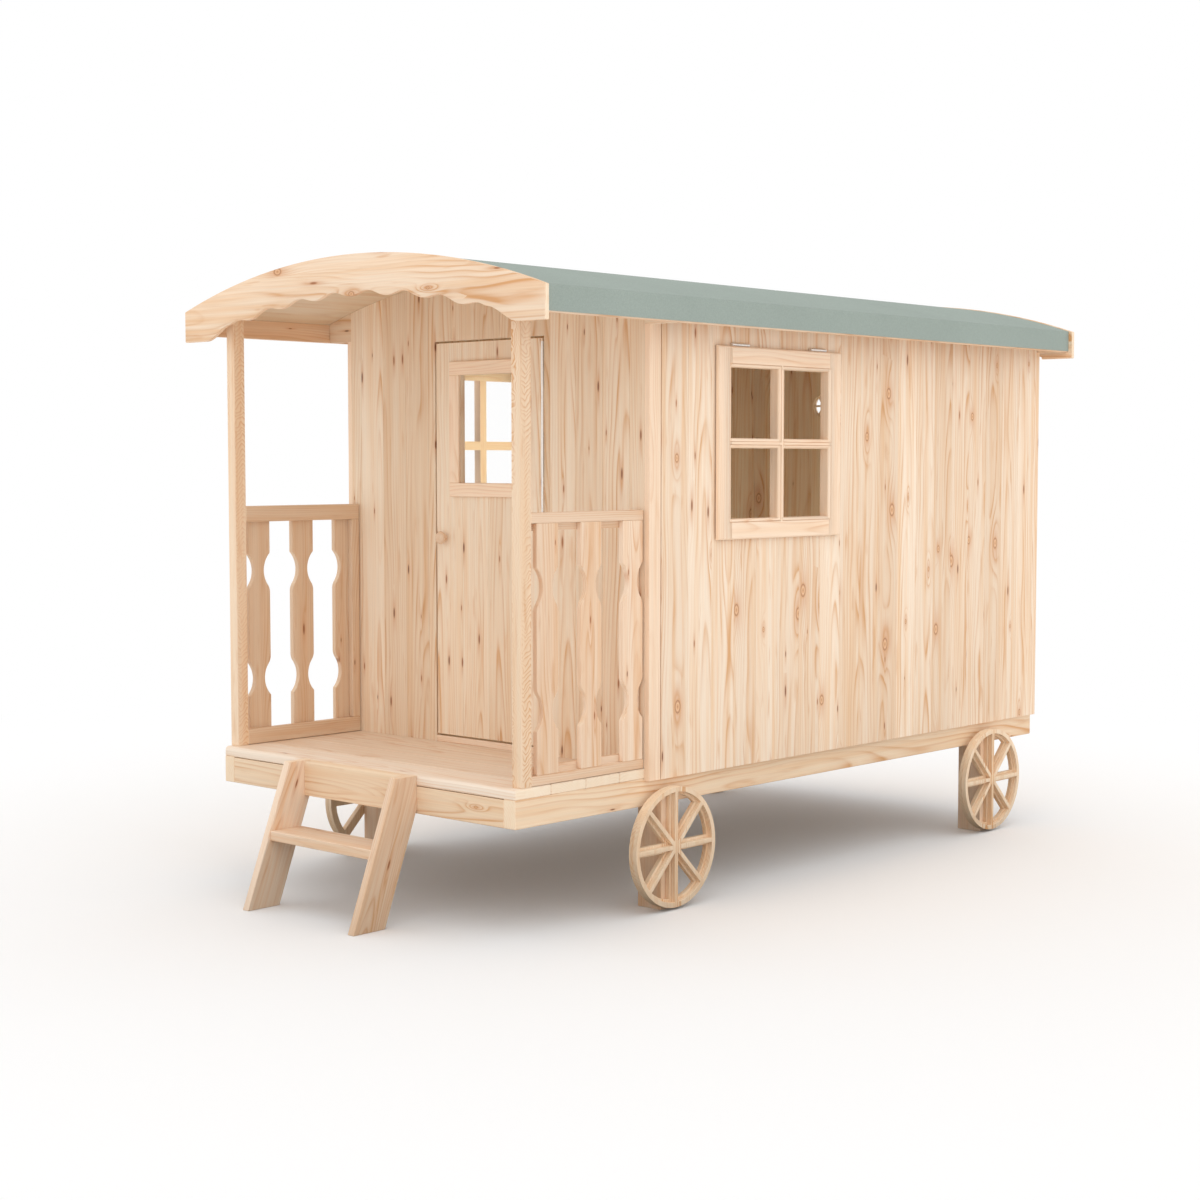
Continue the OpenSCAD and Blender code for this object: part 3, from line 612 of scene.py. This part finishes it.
def end_wall(whole, first, pitch, end):
    """Cuts an end wall into upright boards and the two blocks that close the eaves."""
    arris = bpy.context.scene.wagon_boards.arris
    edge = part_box("front_wall_right")[1].x
    wall = between(whole, X, -edge + MARGIN, edge - MARGIN)
    cut = boards(wall, X, first, pitch, Z, Y, f"{end} wall", arris)
    for side, start, stop in (("right", edge + MARGIN, None), ("left", None, -edge - MARGIN)):
        block = between(whole, X, start, stop)
        cut.append(board(block, X, Y, f"{end} block {side}", arris))
    return cut


def show(item):
    """Puts an object into the scene."""
    bpy.context.scene.collection.objects.link(item)
    return item


def piece(name, parts, material, body, nodes=()):
    """Joins finished boards into one piece, which rides on its body for its CAD nodes."""
    whole = bmesh.new()
    for part in parts:
        scrap = bpy.data.meshes.new("scrap")
        part.to_mesh(scrap)
        part.free()
        whole.from_mesh(scrap)
        bpy.data.meshes.remove(scrap)
    mesh = bpy.data.meshes.new(name)
    whole.to_mesh(mesh)
    whole.free()
    mesh.materials.append(finish_of(material))
    mesh.shade_smooth()
    mesh.set_sharp_from_angle(angle=SHARP)
    made = show(bpy.data.objects.new(name, mesh))
    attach(made, body)
    if nodes:
        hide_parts(*nodes)


def timber(node, along, face, material="frame_pine", arris=None, joint=None):
    """One planed timber with the outline of its CAD node. An open joint is the axis at
    whose high end it falls short, and by how much."""
    arris = arris or bpy.context.scene.wagon_boards.timber_arris
    shape = cad_shape(node)
    if joint:
        axis, gap = joint
        shape = between(shape, axis, None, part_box(node)[1].dot(axis) - gap)
    shape = board(shape, along, face, node, arris, TONES_AND_PAINTED_LIGHT.get(node))
    piece(node + "_timber", [shape], material, "wagon", [node])


def outline_bar(points, axis, start, stop):
    """A straight bar: an outline, swept along an axis from start to stop."""
    bar = bmesh.new()
    corners = [bar.verts.new(Vector(point) + axis * start) for point in points]
    base = bmesh.ops.contextual_create(bar, geom=corners)["faces"]
    swept = bmesh.ops.extrude_face_region(bar, geom=base, use_keep_orig=True)["geom"]
    moved = [item for item in swept if isinstance(item, bmesh.types.BMVert)]
    bmesh.ops.translate(bar, verts=moved, vec=axis * (stop - start))
    bmesh.ops.recalc_face_normals(bar, faces=bar.faces)
    return bar


# ---------------------------------------------------------------- pieces


class WAGON_OT_side_walls(bpy.types.Operator):
    """Both side walls, boarded upright"""

    bl_idname = "wagon.side_walls"
    bl_label = "Side Walls"

    def execute(self, context):
        sizes = context.scene.wagon_boards
        for side in ("left", "right"):
            node = "side_wall_" + side
            cut = boards(cad_shape(node), Y, sizes.side_first, sizes.side_pitch, Z, X, node,
                         sizes.arris)
            piece(node + "_boards", cut, "wall_pine", "wagon", [node])
        return {"FINISHED"}


class WAGON_OT_front_wall(bpy.types.Operator):
    """The front wall: full height boards beside the door, short ones over it, and the
    blocks that close the eaves"""

    bl_idname = "wagon.front_wall"
    bl_label = "Front Wall"

    def execute(self, context):
        sizes = context.scene.wagon_boards
        nodes = ["front_wall_left", "front_wall_right", "front_wall_head"]
        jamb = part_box("front_wall_right")[0].x
        whole = cad_shape(*nodes)
        # The sides and the head become one shape: cut alike, welded, and opened inside
        for place in (-jamb, jamb):
            slice_at(whole, X * place, X)
        bmesh.ops.remove_doubles(whole, verts=whole.verts, dist=WELD)
        inner = [side for side in whole.faces
                 if all(len(edge.link_faces) > 2 for edge in side.edges)]
        bmesh.ops.delete(whole, geom=inner, context="FACES_ONLY")
        tidy(whole)
        cut = end_wall(whole, sizes.end_first, sizes.end_pitch, "front")
        piece("front_wall_boards", cut, "porch_pine", "wagon", nodes)
        return {"FINISHED"}


class WAGON_OT_rear_wall(bpy.types.Operator):
    """The rear wall with its two barred vents"""

    bl_idname = "wagon.rear_wall"
    bl_label = "Rear Wall"

    def execute(self, context):
        sizes = context.scene.wagon_boards
        cut = end_wall(cad_shape("rear_wall"), sizes.rear_first, sizes.rear_pitch, "rear")
        piece("rear_wall_boards", cut, "wall_pine", "wagon", ["rear_wall"])
        return {"FINISHED"}


class WAGON_OT_floor(bpy.types.Operator):
    """Floor boards across the wagon, from the rounded front board to the back"""

    bl_idname = "wagon.floor"
    bl_label = "Floor"

    def execute(self, context):
        sizes = context.scene.wagon_boards
        # The floor's tones paint light on the front board and shade on the boards behind it
        cut = boards(cad_shape("floor_deck"), Y, sizes.floor_pitch, sizes.floor_pitch, X, Z,
                     "floor", sizes.floor_arris, TONES_AND_PAINTED_LIGHT["floor_deck"])
        piece("floor_boards", cut, "floor_pine", "wagon", ["floor_deck"])
        return {"FINISHED"}


class WAGON_OT_chassis(bpy.types.Operator):
    """Rim boards and legs"""

    bl_idname = "wagon.chassis"
    bl_label = "Chassis"

    def execute(self, context):
        open_joint = (Z, context.scene.wagon_boards.rim_gap)
        for side in ("left", "right"):
            timber("rim_" + side, Y, X, "rim_pine")
        for end, joint in (("front", open_joint), ("rear", None)):
            timber("rim_" + end, X, Y, "rim_pine", joint=joint)
            for side in ("left", "right"):
                timber(f"leg_{end}_{side}", Z, X)
        return {"FINISHED"}


class WAGON_OT_wheels(bpy.types.Operator):
    """Four wheels, each of two sawn discs"""

    bl_idname = "wagon.wheels"
    bl_label = "Wheels"

    def execute(self, context):
        sizes = context.scene.wagon_boards
        disc = context.scene.wagon_fittings.disc
        for end in ("front", "rear"):
            for side, way in (("left", -1), ("right", 1)):
                node = f"wheel_{end}_{side}"
                low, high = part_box(node)
                joint = high.x - disc if way > 0 else low.x + disc
                whole = cad_shape(node)
                discs = [between(whole, X, None, joint - sizes.gap / 2),
                         between(whole, X, joint + sizes.gap / 2, None)]
                cut = [board(part, Z, X, f"{node} {number}", sizes.fine_arris)
                       for number, part in enumerate(discs)]
                piece(node + "_discs", cut, "wheel_pine", "wagon", [node])
        return {"FINISHED"}


class WAGON_OT_ladder(bpy.types.Operator):
    """Two leaning stringers, with the tread and a round nosed header board between them"""

    bl_idname = "wagon.ladder"
    bl_label = "Ladder"

    def execute(self, context):
        low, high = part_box("ladder_stringer_right")
        rise = high.z - low.z
        lean = Vector((0, LADDER_SLOPE * rise, rise)).normalized()
        for side in ("left", "right"):
            timber("ladder_stringer_" + side, lean, X)
        timber("ladder_tread", X, Z)

        sizes = context.scene.wagon_boards
        fittings = context.scene.wagon_fittings
        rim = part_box("rim_front")[0]
        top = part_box("floor_deck")[1].z
        foot = rim.z + fittings.header_rise
        front = rim.y - fittings.header_thickness
        nose = fittings.header_nose
        # A thin lip fills the rounding of the front floor board
        back = rim.y + nose
        lip = top - fittings.header_lip
        outline = [(0, back, top), (0, back, lip), (0, rim.y - sizes.gap, lip),
                   (0, rim.y - sizes.gap, foot), (0, front, foot)]
        for step in range(NOSE_STEPS + 1):
            turn = math.radians(90) * step / NOSE_STEPS
            outline.append((0, front + nose * (1 - math.cos(turn)),
                            top - nose * (1 - math.sin(turn))))
        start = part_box("ladder_stringer_left")[1].x + sizes.gap
        header = outline_bar(outline, X, start, low.x - sizes.gap)
        header = board(header, X, Y, "ladder header", sizes.fine_arris)
        piece("ladder_header", [header], "rim_pine", "wagon")
        return {"FINISHED"}


class WAGON_OT_porch(bpy.types.Operator):
    """Porch posts, and railings with flat balusters between rebated rails"""

    bl_idname = "wagon.porch"
    bl_label = "Porch"

    def execute(self, context):
        sizes = context.scene.wagon_boards
        fittings = context.scene.wagon_fittings
        # The left railing gets wood painted darker for its shade, the right one the plain frame
        # wood
        for side, way, wood in (("left", -1, "shaded_rail_pine"), ("right", 1, "frame_pine")):
            timber("porch_post_" + side, Z, Y, "post_pine")
            node = "railing_" + side
            tone = TONES_AND_PAINTED_LIGHT.get(node)
            low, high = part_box(node)
            outer, inner = (high.x, low.x) if way > 0 else (low.x, high.x)
            face = outer - way * fittings.baluster_thickness
            lip = fittings.rail_height - fittings.rail_rebate
            back_end = high.y - sizes.wall_gap
            parts = []
            for name, edge, up, lift in (("bottom", low.z, 1, sizes.rail_gap),
                                         ("top", high.z, -1, 0)):
                foot = edge + lift
                outline = [(inner, 0, foot), (outer, 0, foot), (outer, 0, edge + up * lip),
                           (face, 0, edge + up * lip),
                           (face, 0, edge + up * fittings.rail_height),
                           (inner, 0, edge + up * fittings.rail_height)]
                rail = outline_bar(outline, Y, low.y, back_end)
                parts.append(board(rail, Y, Z, f"{node} {name} rail", sizes.timber_arris, tone))
            whole = between(cad_shape(node), Y, None, back_end)
            # The balusters reach into the rebates, and the stile stands between the rails
            panel = between(whole, Z, low.z + lip + sizes.gap, high.z - lip - sizes.gap)
            flat = between(panel, X, *sorted((face + way * MARGIN, outer + way)))
            for number, part in enumerate(islands(flat)):
                parts.append(
                    board(part, Z, X, f"{node} baluster {number}", sizes.timber_arris, tone))
            back = between(whole, Z, low.z + fittings.rail_height + sizes.gap,
                           high.z - fittings.rail_height - sizes.gap)
            stile = between(back, X, *sorted((face - way * sizes.gap, inner - way)))
            parts.append(board(stile, Z, X, f"{node} stile", sizes.timber_arris, tone))
            piece(node + "_panel", parts, wood, "wagon", [node])
        return {"FINISHED"}


def islands(shape):
    """The separate solids of a shape, from the lowest place along Y."""
    shape.verts.index_update()
    left = set(shape.verts)
    groups = []
    while left:
        group, edge = set(), [left.pop()]
        while edge:
            vert = edge.pop()
            group.add(vert)
            for link in vert.link_edges:
                other = link.other_vert(vert)
                if other in left:
                    left.discard(other)
                    edge.append(other)
        groups.append({vert.index for vert in group})
    found = []
    for group in groups:
        part = shape.copy()
        part.verts.index_update()
        bmesh.ops.delete(
            part, geom=[vert for vert in part.verts if vert.index not in group], context="VERTS")
        found.append(part)
    return sorted(found, key=lambda part: reach(part, Y)[0])


class WAGON_OT_trims(bpy.types.Operator):
    """Corner trims and the strip under the door"""

    bl_idname = "wagon.trims"
    bl_label = "Trims"

    def execute(self, context):
        sizes = context.scene.wagon_boards
        for side in ("left", "right"):
            timber("corner_trim_" + side, Z, X, "clear_pine", sizes.fine_arris,
                   (Y, sizes.trim_gap))
        timber("door_threshold", X, Z)
        return {"FINISHED"}


class WAGON_OT_windows(bpy.types.Operator):
    """Top hung sashes with cross bars, their panes and hinges"""

    bl_idname = "wagon.windows"
    bl_label = "Windows"

    def execute(self, context):
        fittings = context.scene.wagon_fittings
        gap, member = fittings.sash_joint, fittings.sash_member
        half = fittings.sash_bar / 2 + MARGIN
        for side, way in (("left", -1), ("right", 1)):
            node = "window_sash_" + side
            low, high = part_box(node)
            middle = (low.y + high.y) / 2
            whole = cad_shape(node)
            field = between(whole, Y, low.y + member + MARGIN, high.y - member - MARGIN)
            cross = between(field, Z, low.z + member + MARGIN, high.z - member - MARGIN)
            parts = []
            for name, along, source, axis, start, stop in (
                    ("front stile", Z, whole, Y, None, low.y + member - gap),
                    ("back stile", Z, whole, Y, high.y - member + gap, None),
                    ("top rail", Y, field, Z, high.z - member + gap, None),
                    ("bottom rail", Y, field, Z, None, low.z + member - gap),
                    ("upright bar", Z, cross, Y, middle - half, middle + half),
                    ("front bar", Y, cross, Y, None, middle - half - gap),
                    ("back bar", Y, cross, Y, middle + half + gap, None)):
                part = between(source, axis, start, stop)
                lay_grain(part, along, X, f"{node} {name}", TONES_AND_PAINTED_LIGHT["window_sash"])
                parts.append(part)
            piece(node + "_joinery", parts, "clear_pine", "wagon", [node])
            refinish("window_glass_" + side, "clear_acrylic")
            self.fit_hinges(fittings, side, way, low, high)
        return {"FINISHED"}

    def fit_hinges(self, fittings, side, way, low, high):
        """Two butt hinges whose barrels lie along the top edge of the sash."""
        radius = fittings.hinge_knuckle / 2
        outer = high.x if way > 0 else low.x
        barrel_x = outer - way * fittings.hinge_setback
        parts = []
        for place in (low.y + fittings.hinge_inset, high.y - fittings.hinge_inset):
            start = place - fittings.hinge_length / 2
            share = fittings.hinge_length / KNUCKLES
            for number in range(KNUCKLES):
                knuckle = bmesh.new()
                bmesh.ops.create_cone(
                    knuckle, cap_ends=True, segments=24, radius1=radius, radius2=radius,
                    depth=share - fittings.hinge_play,
                    matrix=Matrix.Rotation(math.radians(90), 4, "X"))
                bmesh.ops.translate(knuckle, verts=knuckle.verts, vec=(
                    barrel_x, start + (number + 0.5) * share, high.z + radius))
                ease(knuckle, fittings.hinge_play)
                parts.append(knuckle)
        piece(f"window_hinges_{side}", parts, "zinc_plated_steel", "wagon")


class WAGON_OT_door(bpy.types.Operator):
    """The boarded door with its ledges, casing, pane, knob and hinges"""

    bl_idname = "wagon.door"
    bl_label = "Door"

    def execute(self, context):
        sizes = context.scene.wagon_boards
        fittings = context.scene.wagon_fittings
        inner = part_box("front_wall_right")[1].y
        whole = cad_shape("door_leaf")
        leaf = between(whole, Y, None, inner - WELD)
        cut = boards(leaf, X, sizes.door_pitch, sizes.door_pitch, Z, Y, "door", sizes.arris)
        ledges = between(whole, Y, inner + WELD, None)
        middle = sum(reach(ledges, Z)) / 2
        for name, start, stop in (("lower", None, middle), ("upper", middle, None)):
            ledge = between(ledges, Z, start, stop)
            cut.append(board(ledge, X, Y, f"{name} ledge", sizes.timber_arris))
        piece("door_boards", cut, "porch_pine", "door", ["door_leaf"])

        low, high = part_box("door_casing")
        foot, head = low.z + fittings.casing_width, high.z - fittings.casing_width
        gap = fittings.casing_joint
        casing = cad_shape("door_casing")
        stiles = between(casing, Z, foot + gap, head - gap)
        parts = []
        for name, along, source, axis, start, stop in (
                ("foot", X, casing, Z, None, foot), ("head", X, casing, Z, head, None),
                ("left", Z, stiles, X, None, 0), ("right", Z, stiles, X, 0, None)):
            part = between(source, axis, start, stop)
            parts.append(board(part, along, Y, f"casing {name}", sizes.casing_arris,
                               TONES_AND_PAINTED_LIGHT["door_casing"]))
        piece("door_casing_joinery", parts, "clear_pine", "door", ["door_casing"])
        for node, finish in (
                ("door_glass", "clear_acrylic"), ("door_knob", "turned_pine"),
                ("door_hinges", "zinc_plated_steel"), ("door_hinge_flaps", "zinc_plated_steel")):
            refinish(node, finish)
        return {"FINISHED"}


class WAGON_OT_roof(bpy.types.Operator):
    """The curved boards, the felt, the eave boards and the two fascias"""

    bl_idname = "wagon.roof"
    bl_label = "Roof"

    def execute(self, context):
        # The ceiling's wood is painted darker for the shade under the roof
        refinish("roof_deck", "ceiling_pine")
        refinish("roof_felt", "mineral_felt")
        for side in ("left", "right"):
            # The left eave board is painted darker through its tone, for the shade under the roof
            timber("eave_board_" + side, Y, X)
        for end in ("front", "rear"):
            timber("fascia_" + end, X, Y, "fascia_pine")
        return {"FINISHED"}


def lamp(name, kind, **settings):
    """A lamp in the scene, with its settings."""
    light = bpy.data.lights.new(name, kind)
    for key, value in settings.items():
        setattr(light, key, value)
    return show(bpy.data.objects.new(name, light))


class WAGON_OT_stage(bpy.types.Operator):
    """The pale floor, the soft light and the camera"""

    bl_idname = "wagon.stage"
    bl_label = "Stage"

    def execute(self, context):
        scene = context.scene
        look = scene.wagon_stage
        self.lay_floor(look)
        self.whiten_surroundings(scene, look)
        self.hang_lamps(look)

        camera = bpy.data.cameras.new("camera")
        camera.lens = look.camera_lens
        camera.sensor_width = 36
        camera.clip_end = 200
        view = show(bpy.data.objects.new("camera", camera))
        view.location = look.camera_place
        view.rotation_euler = look.camera_turn
        scene.camera = view
        scene.view_settings.view_transform = "Standard"
        return {"FINISHED"}

    def lay_floor(self, look):
        """Matt paper that is seen nearly white and fades into the white surroundings, and
        that throws little light back up beside the wagon."""
        floor = bmesh.new()
        bmesh.ops.create_grid(floor, x_segments=1, y_segments=1, size=look.floor_reach)
        mesh = bpy.data.meshes.new("studio_floor")
        floor.to_mesh(mesh)
        floor.free()
        ground = show(bpy.data.objects.new("studio_floor", mesh))
        material, tree, shader = new_material("studio_floor")
        spot = add(tree, "TexCoord")["Object"]
        away = add(tree, "VectorMath", (spot,), operation="LENGTH")["Value"]
        seen = add(tree, "LightPath")["Is Camera Ray"]
        oval = (look.ground_width / 2, look.ground_length / 2, 1)
        oval = add(tree, "VectorMath", (spot, oval), operation="DIVIDE")[0]
        oval = add(tree, "VectorMath", (oval,), operation="LENGTH")["Value"]
        soft = look.ground_edge
        beyond = add(tree, "MapRange", (oval, 1 - soft, 1 + soft, 0, 1))[0]
        back = add(tree, "Mix", {SHARE: beyond, TINT_A: look.ground[:], TINT_B: look.floor[:]},
                   data_type="RGBA")[BLEND]
        tint = add(tree, "Mix", {SHARE: seen, TINT_A: back, TINT_B: look.floor[:]},
                   data_type="RGBA")[BLEND]
        feed(tree, shader, {"Base Color": tint, "Roughness": 0.9, "Specular IOR Level": 0.1})
        fade = add(tree, "MapRange", (away, look.fade_start, look.fade_end, 0, 1),
                   interpolation_type="SMOOTHSTEP")[0]
        fade = add(tree, "Math", (fade, seen), operation="MULTIPLY")[0]
        white = add(tree, "Emission", {"Strength": 1.0})[0]
        mixed = add(tree, "MixShader", (fade, shader.outputs[0], white))[0]
        feed(tree, tree.nodes["Material Output"], {"Surface": mixed})
        mesh.materials.append(material)

    def whiten_surroundings(self, scene, look):
        """An even white, also where it is seen, mirrored or looked at through a pane."""
        world = bpy.data.worlds.new("studio")
        world.use_nodes = True
        scene.world = world
        tree = world.node_tree
        rays = add(tree, "LightPath")
        seen = rays["Is Camera Ray"]
        for other in ("Is Glossy Ray", "Is Transmission Ray"):
            seen = add(tree, "Math", (seen, rays[other]), operation="MAXIMUM")[0]
        strength = add(tree, "MapRange", (seen, 0, 1, look.sky, 1.0))[0]
        feed(tree, tree.nodes["Background"], {"Color": (1, 1, 1, 1), "Strength": strength})

    def hang_lamps(self, look):
        """The soft key light, and two lamps inside: one lights the room behind the panes,
        and one the bars of the left window, which are seen through the door's light."""
        key = lamp("key", "SUN", energy=look.sun, angle=look.sun_angle)
        aim = Vector(look.sun_from).to_track_quat("Z", "Y")
        key.matrix_world = aim.to_matrix().to_4x4()

        # Out of sight through the panes: further back in the room, and under the sill
        low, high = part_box("window_sash_right")
        middle = (low.y + high.y) / 2
        aside, behind, below = 0.15, 0.7, 0.35
        inside = lamp("room_lamp", "POINT", energy=look.room, color=look.room_tint,
                      shadow_soft_size=0.2)
        inside.location = (aside, middle + behind, low.z - below)
        inside.visible_camera = False

        # Level with the middle of the left window, and turned to it
        aside = 0.3
        beam = lamp("window_lamp", "SPOT", energy=look.window_lamp, color=look.window_tint,
                    spot_size=math.radians(34), spot_blend=0.3, shadow_soft_size=0.05)
        beam.location = (aside, middle, (low.z + high.z) / 2)
        beam.rotation_euler = (0, math.radians(90), 0)
        beam.visible_camera = False


PIECES = (
    WAGON_OT_side_walls, WAGON_OT_front_wall, WAGON_OT_rear_wall, WAGON_OT_floor,
    WAGON_OT_chassis, WAGON_OT_wheels, WAGON_OT_ladder, WAGON_OT_porch, WAGON_OT_trims,
    WAGON_OT_windows, WAGON_OT_door, WAGON_OT_roof, WAGON_OT_stage,
)
GROUPS = {
    "wagon_boards": WagonBoards,
    "wagon_fittings": WagonFittings,
    "wagon_finish": WagonFinish,
    "wagon_stage": WagonStage,
}


class WAGON_PT_panel(bpy.types.Panel):
    """The wagon's pieces and their settings"""

    bl_label = "Playhouse Wagon"
    bl_space_type = "VIEW_3D"
    bl_region_type = "UI"
    bl_category = "Playhouse"

    def draw(self, context):
        """Lists the operators, then the settings of each group."""
        for piece_class in PIECES:
            self.layout.operator(piece_class.bl_idname)
        for group, group_class in GROUPS.items():
            box = self.layout.box()
            for name in group_class.__annotations__:
                box.prop(getattr(context.scene, group), name)


def register():
    """Adds the settings, the operators and the panel to Blender."""
    for group, group_class in GROUPS.items():
        bpy.utils.register_class(group_class)
        setattr(bpy.types.Scene, group, bpy.props.PointerProperty(type=group_class))
    for shown in PIECES + (WAGON_PT_panel,):
        bpy.utils.register_class(shown)


def unregister():
    """Takes them away again."""
    for shown in reversed(PIECES + (WAGON_PT_panel,)):
        bpy.utils.unregister_class(shown)
    for group, group_class in GROUPS.items():
        delattr(bpy.types.Scene, group)
        bpy.utils.unregister_class(group_class)


def main():
    """Builds the wagon and its stage."""
    register()
    for made in PIECES:
        group, name = made.bl_idname.split(".")
        getattr(getattr(bpy.ops, group), name)()


if __name__ == "__main__":
    main()
